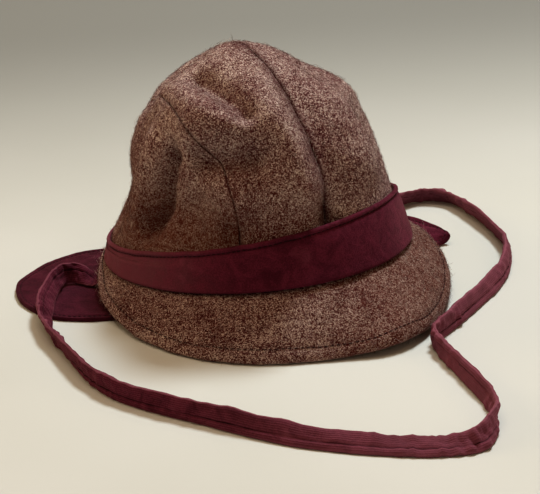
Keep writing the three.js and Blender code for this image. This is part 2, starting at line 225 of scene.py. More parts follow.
for name, (place, power, size, colour) in LIGHTS.items():
    area_light(name, place, power, size, colour)
world = bpy.data.worlds.new("soft_room")
bpy.context.scene.world = world
world.use_nodes = True
room = world.node_tree.nodes["Background"]
room.inputs["Color"].default_value = ROOM_GLOW
room.inputs["Strength"].default_value = ROOM_STRENGTH
bpy.context.scene.view_settings.view_transform = "Standard"
bpy.context.scene.view_settings.look = "Medium High Contrast"

# Chin strap
# One long tube of wine velvet, sewn along its length, turned and pressed flat. It comes out from under the
# brim at the right ear, runs round the front of the hat, on its edge or leaning, and goes back under the
# brim at the left ear.
HAT_FOOT = Vector((8.25, 11.2, 0)) * MM
STRAP_WIDTH = 11.5 * MM
STRAP_WALL = 2.6 * MM
STRAP_RINGS_PER_ROW = 14
STRAP_SIDES = 44
EDGE_SQUARENESS = 5
SEAM_AT = -0.32
SEAM_DEPTH = 0.7 * MM
SEAM_WIDTH = 0.07
SEAM_LINE = 0.5 * MM
SEAM_CORE = 0.05 * MM
PUCKER_DEPTH = 0.46 * MM
PUCKER_PITCH = 4.6 * MM
PUCKER_ACROSS = 0.7
BEND_SPAN = 5
BEND_GAIN = 0.055
MOST_BEND = 2.6
SWELL = 0.22
SWELL_PITCH = 30 * MM
WANDER = 0.45 * MM
WANDER_PITCH = 14 * MM
UNEVEN = 0.10
UNEVEN_PITCH = 22 * MM
RIPPLE = 0.07
RIPPLE_PITCH = 6 * MM
LEAST_WALL = 0.2 * MM
TINY = 1e-9

# Each row: the place on the table in metres from below the middle of the band, the turn about the strap's
# length in degrees (0 is flat, 90 on edge) and the height of what it lies on.
STRAP_ROUTE = [
    (-0.0874, 0.0030, 0, 0.0030),
    (-0.0915, 0.0048, 6, 0.0030),
    (-0.0965, 0.0070, 46, 0.0032),
    (-0.1020, 0.0090, 72, 0.0032),
    (-0.1075, 0.0075, 72, 0.0032),
    (-0.1125, 0.0005, 64, 0.0032),
    (-0.1175, -0.0115, 52, 0.0033),
    (-0.1215, -0.0245, 46, 0.0032),
    (-0.1240, -0.0370, 48, 0.0022),
    (-0.1243, -0.0470, 56, 0.0006),
    (-0.1238, -0.0580, 64, 0.0002),
    (-0.1212, -0.0720, 70, 0.0002),
    (-0.1125, -0.1125, 81, 0.0002),
    (-0.1030, -0.1330, 92, 0.0002),
    (-0.0888, -0.1490, 96, 0.0002),
    (-0.0684, -0.1670, 99, 0.0002),
    (-0.0280, -0.1986, 134, 0.0002),
    (0.0137, -0.2170, 152, 0.0002),
    (0.0380, -0.2225, 152, 0.0002),
    (0.0512, -0.2212, 134, 0.0002),
    (0.0610, -0.2110, 108, 0.0002),
    (0.0664, -0.1990, 84, 0.0002),
    (0.0686, -0.1830, 77, 0.0002),
    (0.0660, -0.1420, 82, 0.0002),
    (0.0645, -0.1220, 88, 0.0002),
    (0.0665, -0.1095, 93, 0.0002),
    (0.0750, -0.1010, 98, 0.0002),
    (0.0885, -0.0860, 112, 0.0002),
    (0.1220, -0.0485, 118, 0.0002),
    (0.1370, -0.0255, 112, 0.0002),
    (0.1470, 0.0040, 108, 0.0002),
    (0.1435, 0.0660, 122, 0.0002),
    (0.1370, 0.0820, 126, 0.0002),
    (0.1240, 0.0870, 118, 0.0002),
    (0.1090, 0.0830, 122, 0.0002),
    (0.0970, 0.0800, 135, 0.0004),
    (0.0905, 0.0730, 152, 0.0034),
    (0.0890, 0.0620, 170, 0.0063),
    (0.0862, 0.0533, 182, 0.0060),
    (0.0818, 0.0458, 188, 0.0066),
    (0.0778, 0.0403, 203, 0.0076),
]


def smooth_route(rows, steps):
    """Points, turns and heights of the bed along a centripetal spline through the rows."""
    centres = []
    for x, y, turn, bed in rows:
        tilt = math.radians(turn)
        height = STRAP_WIDTH * abs(math.sin(tilt)) + STRAP_WALL * abs(math.cos(tilt))
        centres.append(HAT_FOOT + Vector((x, y, bed + height / 2)))
    ends = [centres[0] * 2 - centres[1]] + centres + [centres[-1] * 2 - centres[-2]]
    points, turns, beds = [], [], []
    for k in range(len(rows) - 1):
        p0, p1, p2, p3 = ends[k:k + 4]
        d0, d1, d2 = ((b - a).length ** 0.5 for a, b in ((p0, p1), (p1, p2), (p2, p3)))
        m1 = ((p1 - p0) / d0 - (p2 - p0) / (d0 + d1) + (p2 - p1) / d1) * d1
        m2 = ((p2 - p1) / d1 - (p3 - p1) / (d1 + d2) + (p3 - p2) / d2) * d1
        last = k == len(rows) - 2
        for j in range(steps + last):
            t = j / steps
            a, b = 2 * p1 - 2 * p2 + m1 + m2, -3 * p1 + 3 * p2 - 2 * m1 - m2
            points.append(a * t ** 3 + b * t ** 2 + m1 * t + p1)
            turns.append(math.radians(rows[k][2] * (1 - t) + rows[k + 1][2] * t))
            beds.append(rows[k][3] * (1 - t) + rows[k + 1][3] * t)
    return points, turns, beds


def mesh_piece(name, points, faces):
    """A new mesh object at the origin, shaded smooth."""
    mesh = bpy.data.meshes.new(name)
    mesh.from_pydata([tuple(p) for p in points], [], faces)
    mesh.update()
    piece = bpy.data.objects.new(name, mesh)
    bpy.context.scene.collection.objects.link(piece)
    mesh.shade_smooth()
    return piece


def wavering(run, pitch, y, z):
    """Noise along the strap, in waves of about one pitch."""
    return noise.noise(Vector((run / pitch, y, z)))


def strap_section(run, across, side, bend):
    """Half-thickness of the strap on one face, at a share across its width (-1 to 1) and a run along it."""
    body = (1 - abs(across) ** EDGE_SQUARENESS) ** 0.5
    seam = SEAM_DEPTH * math.exp(-((across - side * SEAM_AT) / SEAM_WIDTH) ** 2)
    pucker = 2 * abs(wavering(run, PUCKER_PITCH, across * PUCKER_ACROSS, 3.1 * side)) - 0.4
    swell = SWELL * wavering(run, SWELL_PITCH, across, 9.4)
    depth = PUCKER_DEPTH * (1 + min(bend * BEND_GAIN, MOST_BEND))
    return body * max((STRAP_WALL / 2) * (1 + swell) - seam + depth * pucker, LEAST_WALL)


def chin_strap():
    """The strap's mesh, the line along its middle and its length."""
    points, turns, beds = smooth_route(STRAP_ROUTE, STRAP_RINGS_PER_ROW)
    rings, lengths = [], []
    run = 0.0
    half = STRAP_SIDES // 2
    last = len(points) - 1
    up = Vector((0, 0, 1))
    for i, (point, turn) in enumerate(zip(points, turns)):
        ahead = (points[min(i + 1, last)] - points[max(i - 1, 0)]).normalized()
        level = ahead.cross(up).normalized()
        across = level * math.cos(turn) + up * math.sin(turn)
        thick = ahead.cross(across).normalized()
        run += (point - points[i - 1]).length if i else 0.0
        before, after = points[max(i - BEND_SPAN, 0)], points[min(i + BEND_SPAN, last)]
        bow = ((before + after) / 2 - point).length
        bend = bow / max((after - before).length_squared / 8, TINY)
        wander = WANDER * wavering(run, WANDER_PITCH, 4.0, 0)
        uneven = UNEVEN * wavering(run, UNEVEN_PITCH, 1.5, 6.0)
        uneven += RIPPLE * wavering(run, RIPPLE_PITCH, 2.5, 1.0)
        width = STRAP_WIDTH * (1 + uneven)
        ring = []
        for j in range(STRAP_SIDES):
            angle = 2 * math.pi * j / STRAP_SIDES
            share = math.cos(angle)
            side = 1 if j < half else -1
            depth = strap_section(run, share, side, bend) if j % half else 0.0
            ring.append(point + across * (share * width / 2 + wander) + thick * side * depth)
        gap = Vector((0, 0, min(p.z for p in ring) - beds[i]))
        rings.append([p - gap for p in ring])
        lengths.append(run)
    count = len(rings)
    faces = []
    for i in range(count - 1):
        for j in range(STRAP_SIDES):
            k = (j + 1) % STRAP_SIDES
            a, b = i * STRAP_SIDES, (i + 1) * STRAP_SIDES
            faces.append((a + j, a + k, b + k, b + j))
    faces.append(tuple(range(STRAP_SIDES)))
    faces.append(tuple((count - 1) * STRAP_SIDES + j for j in reversed(range(STRAP_SIDES))))
    strap = mesh_piece("chin_strap_velvet", [p for ring in rings for p in ring], faces)
    grain = strap.data.uv_layers.new(name="grain")
    for loop in strap.data.loops:
        i, j = divmod(loop.vertex_index, STRAP_SIDES)
        share = math.cos(2 * math.pi * j / STRAP_SIDES) * (1 if j < half else -1)
        grain.data[loop.index].uv = (lengths[i], share * STRAP_WIDTH / 2)
    return strap, points, run


VELVET_DEEP = (0.057, 0.0056, 0.0155, 1)
VELVET_WINE = (0.143, 0.020, 0.044, 1)
# The pale velvet that worn pile and painted light both mix towards.
VELVET_WORN_AND_LIT = (0.30, 0.110, 0.145, 1)
VELVET_SEAM = (0.018, 0.0012, 0.003, 1)
VELVET_BLOOM = (1.0, 0.42, 0.48, 1)
VELVET_PILE = 1500.0
VELVET_BRUSHED = 95.0
VELVET_WORN = 32.0
VELVET_RELIEF = 0.45 * MM
RIB_PITCH = 1.05 * MM
RIBBED_EDGE = 0.80
# The strap grows paler towards the wearer's left, partly worn pile and partly painted light.
STRAP_WORN_AND_LIT = {"begins_at": -60 * MM, "palest_at": 60 * MM, "amount": 0.36}


def velvet(name, shade, ribbed=False, rubbed=0.0, worn_and_lit=None):
    """Wine cotton velvet: pile blooming pink at grazing angles, worn paler in places, a side paler by wear
    and painted light.
    """
    start, finish = new_material(name)
    place = start.node("ShaderNodeTexCoord", output="Object")
    pile = place.noise(VELVET_PILE, 4.0, 0.7)
    brushed = place.noise(VELVET_BRUSHED, 5.0, 0.62, 1.2)
    worn = place.noise(VELVET_WORN, 4.0, 0.6)
    deep, wine = ([part * shade for part in tone[:3]] + [1] for tone in (VELVET_DEEP, VELVET_WINE))
    colour = (brushed * 0.45 + pile * 0.55).between(0.36, 0.64).mix(deep, wine)
    wear = (worn * 0.7 + brushed * 0.3).between(0.60 - rubbed, 0.80 - rubbed)
    colour = (wear * 0.30).mix(colour, VELVET_WORN_AND_LIT)
    # Paler towards one side: partly worn pile, partly painted light.
    if worn_and_lit:
        sideways = start.node("ShaderNodeSeparateXYZ", None, {"Vector": place}, output="X")
        paler = (sideways + brushed * 0.05).between(worn_and_lit["begins_at"], worn_and_lit["palest_at"])
        colour = (paler * worn_and_lit["amount"]).mix(colour, VELVET_WORN_AND_LIT)
    height = pile * 0.8 + brushed * 0.9
    if ribbed:
        grain = start.node("ShaderNodeUVMap", {"uv_map": "grain"})
        across = start.node("ShaderNodeSeparateXYZ", None, {"Vector": grain}, output="Y")
        rib = start.math("SINE", across * (2 * math.pi / RIB_PITCH) + brushed * 2.0, 0.0)
        height = height + rib * 0.12
        colour = rib.between(-1.0, 1.0).mix(colour, (brushed * 0.30).mix(colour, VELVET_WORN_AND_LIT))
        half = STRAP_WIDTH / 2
        edge = start.math("ABSOLUTE", across, 0.0).between(RIBBED_EDGE * half, half)
        colour = (edge * 0.45).mix(colour, VELVET_WORN_AND_LIT)
        groove = start.math("ABSOLUTE", across - SEAM_AT * half, 0.0)
        sewn = groove.between(SEAM_LINE, SEAM_CORE) * worn.between(0.62, 0.42)
        colour = sewn.mix(colour, VELVET_SEAM)
    values = {"Base Color": colour, "Roughness": 0.88, "Sheen Weight": 0.18}
    values.update({"Sheen Roughness": 0.32, "Sheen Tint": VELVET_BLOOM, "Specular IOR Level": 0.12})
    return finish(values, height, VELVET_RELIEF, 0.8)


strap, strap_path, strap_length = chin_strap()
strap.data.materials.append(velvet("strap_velvet", 0.92, ribbed=True, rubbed=0.07, worn_and_lit=STRAP_WORN_AND_LIT))
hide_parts("chin_strap")
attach(strap, "root")
tuple(strap_path[0])
[tuple(p) for p in strap_path]

# Crown
# Three panels of thick felted wool in a grey and wine heather, sewn edge to edge: a strip from front to back
# over the top and a panel on each side. The cloth is unlined and has slumped towards the wearer's right.
HAIR_SEEDS = {"crown_centre": 21, "crown_side_left": 22, "crown_side_right": 23}
WELD_GAP = 0.01 * MM
QUAD_ANGLE = math.radians(60)
PANEL_CREASE = 0.72
PANEL_EDGE_ANGLE = math.radians(55)
PANEL_LEVELS = 2
HEAD_MIDDLE = np.array([8.0, 11.0, 45.0]) * MM
BAND_TOP_HEIGHT = 24 * MM
BAND_FADE = 12 * MM
FELT_LUMP = 0.5 * MM
FELT_LUMP_SIZE = 11 * MM
LUMP_FALL = 0.9
LUMP_STEP = 2.1
LUMP_OCTAVES = 3
LOW_INSIDE = np.array([1, 1, 0.55])
FELT_FLECK = 2000.0
FELT_MATTED = 1000.0
FELT_PATCH = 380.0
FELT_CLOUD = 38.0
FELT_RELIEF = 0.7 * MM
FELT_STOPS = (0.462, 0.490, 0.524, 0.564)
# How far the painted shade in folds and seams darkens the felt.
FOLD_SHADE_STRENGTH = 0.75
WOOL_DARK = (0.050, 0.0055, 0.010, 1)
WOOL_BROWN = (0.160, 0.042, 0.043, 1)
WOOL_ROSE = (0.32, 0.185, 0.160, 1)
WOOL_PALE = (0.76, 0.66, 0.585, 1)
# The warm dark that painted shade mixes into the felt.
WOOL_SHADE = (0.098, 0.017, 0.0, 1)
WOOL_BLOOM = (1.0, 0.86, 0.78, 1)
# Painted shade: the centre strip and the right panel grow darker towards the band.
CENTRE_LOW_SHADE = {"axis": "Z", "begins_at": 100 * MM, "fullest_at": 62 * MM, "amount": 0.24}
RIGHT_LOW_SHADE = {"axis": "Z", "begins_at": 92 * MM, "fullest_at": 46 * MM, "amount": 0.62}
HAIR_LENGTH = 2.9 * MM
HAIR_EVENNESS = 5.0
HAIR_WIDTH = 0.10 * MM
HAIR_ROOT = 0.15 * MM
HAIR_LIFT = (0.06, 0.30)
HAIR_CURL = 0.22
HAIR_POINTS = 7
HAIR_AREA = 1.2e-6
TINY_AREA = 1e-12
MOST_HAIRS = 17000
PALE_HAIRS = 0.42


def only(piece):
    """Select one object alone and make it active."""
    bpy.ops.object.select_all(action="DESELECT")
    piece.select_set(True)
    bpy.context.view_layer.objects.active = piece


def welded_copy(node, name):
    """A copy of a solid with its corners welded and its triangles paired into quads."""
    piece = bpy.data.objects.new(name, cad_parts[node].data.copy())
    bpy.context.scene.collection.objects.link(piece)
    piece.data.materials.clear()
    only(piece)
    bpy.ops.object.mode_set(mode="EDIT")
    bpy.ops.mesh.select_all(action="SELECT")
    bpy.ops.mesh.customdata_custom_splitnormals_clear()
    bpy.ops.mesh.remove_doubles(threshold=WELD_GAP)
    bpy.ops.mesh.tris_convert_to_quads(face_threshold=QUAD_ANGLE, shape_threshold=QUAD_ANGLE)
    bpy.ops.object.mode_set(mode="OBJECT")
    bpy.ops.object.shade_smooth()
    return piece


def crease_borders(piece, crease, edge_angle):
    """Keep the cut edges of a wall from melting away when it is subdivided."""
    only(piece)
    bpy.ops.object.mode_set(mode="EDIT")
    bpy.ops.mesh.select_mode(type="EDGE")
    bpy.ops.mesh.select_all(action="DESELECT")
    bpy.ops.mesh.edges_select_sharp(sharpness=edge_angle)
    bpy.ops.transform.edge_crease(value=crease)
    bpy.ops.mesh.select_all(action="DESELECT")
    bpy.ops.object.mode_set(mode="OBJECT")


def subdivided(piece, levels):
    only(piece)
    modifier = piece.modifiers.new("smooth", "SUBSURF")
    modifier.levels = levels
    modifier.render_levels = levels
    bpy.ops.object.modifier_apply(modifier="smooth")


def vectors(items, field):
    flat = np.empty(len(items) * 3, np.float32)
    items.foreach_get(field, flat)
    return flat.reshape(-1, 3).astype(float)


def positions(piece):
    return vectors(piece.data.vertices, "co")


def normals(piece):
    return vectors(piece.data.vertex_normals, "vector")


def move_to(piece, points):
    piece.data.vertices.foreach_set("co", points.astype(np.float32).ravel())
    piece.data.update()


def lumpy(piece, depth, size, seed):
    """Press soft uneven lumps into a cloth wall, the same on both of its faces."""
    points, outwards = positions(piece), normals(piece)
    shift = Vector((seed, 0, 0))
    lump = [noise.fractal(Vector(p) / size + shift, LUMP_FALL, LUMP_STEP, LUMP_OCTAVES) for p in points]
    away = points - points.mean(0) * LOW_INSIDE
    away /= np.linalg.norm(away, axis=1)[:, None]
    outside = np.sign((outwards * away).sum(1))[:, None]
    move_to(piece, points + outwards * outside * depth * np.array(lump)[:, None])


# Folds of the slumped cloth: a line across the crown, how wide the fold is and how deep it presses in, in
# millimetres, and how much painted shade darkens the felt along it; a depth below zero lifts a ridge.
CROWN_FOLDS = [
    ("step above the brow", [(-28, -6, 123), (-20, -30, 121), (-13, -48, 115)], 6.4, 7.2, 0.25),
    ("brow ledge", [(-40, 2, 113), (-34, -35, 117), (-26, -51, 112), (-18, -55, 109)], 8.0, -4.2, 0),
    ("hollow under the brow", [(-37, -49, 95), (-22, -59, 96), (-13, -61, 97)], 10.0, 9.5, 0.3),
    ("right panel's dent", [(-49, -29, 90), (-52, -26, 74), (-57, -24, 56), (-61, -21, 46)], 6.5, 10.5, 0.45),
    ("slope beside the dent", [(-37, -49, 90), (-38, -49, 70)], 12.0, 4.5, 0),
    ("right panel sunk above the band", [(-53, -36, 54), (-40, -50, 50), (-28, -60, 52)], 19.0, 7.5, 0),
    ("ridge beside the dent", [(-53, -8, 92), (-59, -10, 74), (-62, -11, 54)], 6.5, -4.2, 0),
    ("shoulder of the right panel", [(-48, 10, 104), (-46, -10, 104)], 8.0, -2.4, 0),
    ("right panel behind its shoulder", [(-60, 28, 92), (-62, 22, 78)], 13.0, -3.2, 0),
    ("right panel drawn in at its foot", [(-70, 32, 52), (-73, 30, 32)], 18.0, 7.0, 0),
    ("notch behind the right seam", [(-42, 30, 111), (-25, 30, 124)], 13.0, 4.4, 0),
    ("top of the strip", [(-8, 8, 133), (6, 25, 134)], 22.0, -0.6, 0),
    ("left panel drawn in", [(76, -9, 74), (66, -9, 98)], 18.0, 5.4, 0),
    ("roll along the left seam", [(-6, -30, 125), (0, -49, 115), (9, -59, 99), (16, -66, 78)], 10.0, -4.6, 0),
    ("dip above the left shoulder", [(36, 0, 124), (45, 10, 119)], 10.0, 1.8, 0),
    ("left shoulder", [(57, -6, 107), (61, 10, 103)], 11.0, -1.6, 0),
    ("swell of the left panel", [(45, -30, 107), (53, -42, 84)], 16.0, -2.0, 0),
    ("pleat at the front", [(-20, -66, 78), (-20, -69, 52)], 3.5, -1.2, 0),
]

# How a seam lies: how deep it is sunk, how far the cloth slopes to it on the strip and on the side panel and
# how deep its stitched crease is, in millimetres, and how strongly shade is painted into the crease.
SEAMS = {
    "crown_side_left": {"sunk": 7.5, "strip_slope": 6.0, "side_slope": 12.5, "crease": 2.1, "dark": 1.0},
    "crown_side_right": {"sunk": 1.8, "strip_slope": 6.0, "side_slope": 10.0, "crease": 0.75, "dark": 0.6},
}
SEAM_FADE_HEIGHT = 134 * MM
SEAM_FADE = 16 * MM
SEAM_LEAST = 0.25
SEAM_SHADE_REACH = 1.6
DOME_MIDDLE = np.array([8.25, 11.2, 80.0]) * MM
DOME_SIZE = np.array([84.0, 92.0, 58.0]) * MM
CROWN_FRONT = np.array([-0.22, -0.90, 0.37])
FRONT_GAIN = 1.4


def dome_outward(points):
    """Outward direction of the plain dome that the crown would be if it stood full."""
    away = points - DOME_MIDDLE
    away[:, 2] = np.maximum(away[:, 2], 0.0)
    away /= DOME_SIZE ** 2
    return away / np.linalg.norm(away, axis=1)[:, None]


def distance_to_line(points, line):
    """Distance of each point from a line of straight stretches."""
    nearest = np.full(len(points), np.inf)
    for start, end in zip(line[:-1], line[1:]):
        a, b = np.array(start) * MM, np.array(end) * MM
        share = np.clip(((points - a) @ (b - a)) / ((b - a) @ (b - a)), 0, 1)
        nearest = np.minimum(nearest, np.linalg.norm(points - a - share[:, None] * (b - a), axis=1))
    return nearest


def distance_to_piece(points, other):
    """Distance of each point from the nearest corner of another piece."""
    tree = KDTree(len(other))
    for i, corner in enumerate(other):
        tree.insert(corner, i)
    tree.balance()
    return np.array([tree.find(p)[2] for p in points])


def bell(distance, width):
    """1 on a line, falling away to nothing over about two widths."""
    return np.exp(-(distance / width) ** 2)


def eased(share):
    """A share kept from 0 to 1 and smoothed at both ends."""
    share = np.clip(share, 0, 1)
    return share * (share * (3 - 2 * share))


def slump(piece, sewn_to):
    """Press the folds into a panel, sink its seams below the puffed cloth on both sides; store painted shade
    on both.
    """
    points = positions(piece)
    outward = dome_outward(points)
    front = np.clip(FRONT_GAIN * (outward @ CROWN_FRONT), 0, 1)[:, None]
    straight = outward * (1 - front) + CROWN_FRONT * front
    press, sunk, shade = np.zeros((3, len(points)))
    # Shade is painted along each fold and seam: a share kept on every corner that darkens the felt's colour.
    for _, line, width, depth, fold_shade in CROWN_FOLDS:
        near = bell(distance_to_line(points, line), width * MM)
        press += depth * MM * near
        shade = np.maximum(shade, fold_shade * near)
    for corners, seam, slope in sewn_to:
        gap = distance_to_piece(points, corners) / MM
        crease = seam["crease"]
        sunk += MM * (seam["sunk"] * bell(gap, seam[slope]) + crease * bell(gap, crease))
        shade = np.maximum(shade, seam["dark"] * bell(gap, SEAM_SHADE_REACH * crease))
    sunk *= np.clip((SEAM_FADE_HEIGHT - points[:, 2]) / SEAM_FADE, SEAM_LEAST, 1)
    held = eased((points[:, 2] - BAND_TOP_HEIGHT) / BAND_FADE)
    move_to(piece, points - outward * (press * held)[:, None] - straight * (sunk * held)[:, None])
    crushed_nap = piece.data.attributes.new("crushed_nap", "FLOAT", "POINT")
    crushed_nap.data.foreach_set("value", shade.astype(np.float32))


def wool_felt(name, tint=(1, 1, 1, 1), painted_shade=None):
    """Felted heather: dark wine, brown and pale grey-tan fibres matted together; painted shade in folds,
    seams, along an axis.
    """
    start, finish = new_material(name)
    place = start.node("ShaderNodeTexCoord", output="Object")
    fleck = place.noise(FELT_FLECK, 2.0, 0.7, 0.2)
    matted = place.noise(FELT_MATTED, 3.0, 0.65, 0.8)
    cloud = place.noise(FELT_CLOUD, 3.0, 0.55)
    patch = place.noise(FELT_PATCH, 2.0, 0.55)
    mixture = fleck * 0.52 + matted * 0.28 + patch * 0.10 + cloud * 0.10
    tones = [[a * b for a, b in zip(tone, tint)] for tone in (WOOL_DARK, WOOL_BROWN, WOOL_ROSE, WOOL_PALE)]
    stops = list(zip(FELT_STOPS, tones))
    colour = start.node("ShaderNodeValToRGB", {"stops": stops}, {"Fac": mixture})
    # Painted shade: the felt darkens along its folds and seams, where shade gathers.
    fold_shade = start.node("ShaderNodeAttribute", {"attribute_name": "crushed_nap"}, output="Fac")
    colour = (fold_shade * FOLD_SHADE_STRENGTH).mix(colour, WOOL_DARK)
    # Painted shade: the felt grows darker towards one end of an axis, where less light reaches it.
    if painted_shade:
        along = start.node("ShaderNodeSeparateXYZ", None, {"Vector": place}, output=painted_shade["axis"])
        shade_share = along.between(painted_shade["begins_at"], painted_shade["fullest_at"])
        colour = (shade_share * painted_shade["amount"]).mix(colour, WOOL_SHADE)
    values = {"Base Color": colour, "Roughness": 0.95, "Sheen Weight": 0.07, "Sheen Roughness": 0.5}
    values.update({"Sheen Tint": WOOL_BLOOM, "Specular IOR Level": 0.08})
    return finish(values, fleck * 0.6 + matted * 0.5, FELT_RELIEF, 0.7)


def wool_hair(name):
    """Loose surface fibres, each of one colour of the heather."""
    start, finish = new_material(name)
    tone = start.node("ShaderNodeAttribute", {"attribute_name": "tone"}, output="Fac")
    stops = [(0.0, WOOL_DARK), (0.45, WOOL_BROWN), (0.65, WOOL_ROSE), (1.0, WOOL_PALE)]
    colour = start.node("ShaderNodeValToRGB", {"stops": stops}, {"Fac": tone})
    return finish({"Base Color": colour, "Roughness": 0.9, "Specular IOR Level": 0.1})


def outer_samples(piece, count, rng, inside):
    """Random places and normals on the faces that look away from a point inside the hat."""
    piece.data.calc_loop_triangles()
    corners = np.empty(len(piece.data.loop_triangles) * 3, np.int32)
    piece.data.loop_triangles.foreach_get("vertices", corners)
    tri = positions(piece)[corners.reshape(-1, 3)]
    normal = np.cross(tri[:, 1] - tri[:, 0], tri[:, 2] - tri[:, 0])
    area = np.linalg.norm(normal, axis=1) / 2
    normal /= np.maximum(area, TINY_AREA)[:, None] * 2
    away = ((tri.mean(1) - inside) * normal).sum(1) > 0
    area = np.where(away, area, 0.0)
    chosen = rng.choice(len(tri), size=count, p=area / area.sum())
    u, v = rng.random(count), rng.random(count)
    over = u + v > 1
    u[over], v[over] = 1 - u[over], 1 - v[over]
    t = tri[chosen]
    return t[:, 0] + u[:, None] * (t[:, 1] - t[:, 0]) + v[:, None] * (t[:, 2] - t[:, 0]), normal[chosen]


def fuzz(piece, name, seed, inside, material):
    """Thousands of short tapered fibres, rooted in the felt and lying over it."""
    rng = np.random.default_rng(seed)
    area = sum(p.area for p in piece.data.polygons) / 2
    count = min(int(area / HAIR_AREA), MOST_HAIRS)
    root, normal = outer_samples(piece, count, rng, inside)
    any_way = rng.normal(size=(count, 3))
    along = any_way - (any_way * normal).sum(1)[:, None] * normal
    along /= np.linalg.norm(along, axis=1)[:, None]
    side = np.cross(normal, along)
    length = HAIR_LENGTH * rng.gamma(HAIR_EVENNESS, 1 / HAIR_EVENNESS, count)[:, None]
    width = HAIR_WIDTH * rng.uniform(0.7, 1.3, count)[:, None]
    lift = rng.uniform(*HAIR_LIFT, count)[:, None]
    curl = rng.normal(0, HAIR_CURL, count)[:, None]
    base = root - normal * HAIR_ROOT
    bend = root + along * length * 0.5 + normal * lift * length * 0.75
    rise = lift * rng.uniform(0.2, 1.3, count)[:, None]
    tip = root + (along * 0.95 + side * curl + normal * rise) * length
    ring = []
    for centre, scale in ((base, 1.0), (bend, 0.85)):
        for turn in (0, 2 * math.pi / 3, 4 * math.pi / 3):
            ring.append(centre + (side * math.cos(turn) + normal * math.sin(turn)) * width * scale / 2)
    points = np.stack(ring + [tip], 1).reshape(-1, 3)
    points[:, 2] = np.maximum(points[:, 2], HAIR_WIDTH)
    faces = []
    for o in range(0, HAIR_POINTS * count, HAIR_POINTS):
        faces += [(o, o + 2, o + 1), (o, o + 1, o + 4, o + 3), (o + 1, o + 2, o + 5, o + 4)]
        faces += [(o + 2, o, o + 3, o + 5)]
        faces += [(o + 3, o + 4, o + 6), (o + 4, o + 5, o + 6), (o + 5, o + 3, o + 6)]
    hair = mesh_piece(name, points, faces)
    tone = hair.data.attributes.new("tone", "FLOAT", "POINT")
    pale = rng.random(count) < PALE_HAIRS
    shade = np.where(pale, rng.uniform(0.6, 1.0, count), rng.uniform(0.0, 0.45, count))
    tone.data.foreach_set("value", np.repeat(shade, HAIR_POINTS).astype(np.float32))
    hair.data.materials.append(material)
    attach(hair, "root")


felts = {
    "crown_centre": wool_felt("heather_felt_centre", painted_shade=CENTRE_LOW_SHADE),
    "crown_side_left": wool_felt("heather_felt_left"),
    "crown_side_right": wool_felt("heather_felt_right", painted_shade=RIGHT_LOW_SHADE),
}
hairs = wool_hair("heather_hairs")
panels = {}
for node in felts:
    panels[node] = welded_copy(node, node + "_felt")
    crease_borders(panels[node], PANEL_CREASE, PANEL_EDGE_ANGLE)
    subdivided(panels[node], PANEL_LEVELS)
resting = {node: positions(panel) for node, panel in panels.items()}
for node, panel in panels.items():
    if node == "crown_centre":
        slump(panel, [(resting[side], seam, "strip_slope") for side, seam in SEAMS.items()])
    else:
        slump(panel, [(resting["crown_centre"], SEAMS[node], "side_slope")])
    lumpy(panel, FELT_LUMP, FELT_LUMP_SIZE, 0.0)
    panel.data.materials.append(felts[node])
    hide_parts(node)
    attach(panel, "root")
    fuzz(panel, node + "_fuzz", HAIR_SEEDS[node], HEAD_MIDDLE, hairs)

# Brim
# Two layers of the same felt, folded at the edge and topstitched round. It leaves the hem under the band,
# bends over and droops to the table in front.
BRIM_STITCH_INSET = 3.6 * MM
BRIM_STEPS = 540
NARROW_BRIM = 2 * MM
NARROW_SHARE = 0.55
BRIM_HAIR_SEED = 31
BRIM_GROOVE = 0.5 * MM
GROOVE_REACH = 1.0 * MM
HAT_HALF = np.array([84.0, 92.0]) * MM
EDGE_BINS = 120
# Painted shade: the brim's copy of the crown's felt is made darker all over.
BRIM_SHADE_TINT = (0.81, 0.77, 0.75, 1)
# Painted shade: the brim grows darker towards the wearer's left.
BRIM_SIDE_SHADE = {"axis": "X", "begins_at": -30 * MM, "fullest_at": 80 * MM, "amount": 0.42}
BRIM_LEVELS = 3
BRIM_LUMP = 0.45 * MM
BRIM_LUMP_SIZE = 13 * MM
BRIM_LIFT = 11 * MM
LIFT_FROM = 0.03
LIFT_OVER = 0.22
LIFT_CURVE = 1.5
LIFT_TURN = 27
LIFT_SPREAD = 15
UNDER_BRIM = np.array([8.0, 11.0, -60.0]) * MM
ABOVE_ALL = 0.3
THREAD_WINE = (0.020, 0.004, 0.006, 1)
STITCH_SPOTS = np.array([0.0, 0.2, 0.5, 0.8, 1.0])
STITCH_GIRTHS = (0.8, 1.0, 0.8)
STITCH_SIDES = 6

# A row of stitches: from one to the next, the length of one and half its thickness.
BRIM_STITCH = (3.2 * MM, 2.5 * MM, 0.27 * MM)
BRIM_STITCH_SUNK = np.array([0, 0, 0.2 * MM])


def tree_of(piece):
    return BVHTree.FromPolygons(
        [Vector(p) for p in positions(piece)], [tuple(f.vertices) for f in piece.data.polygons]
    )


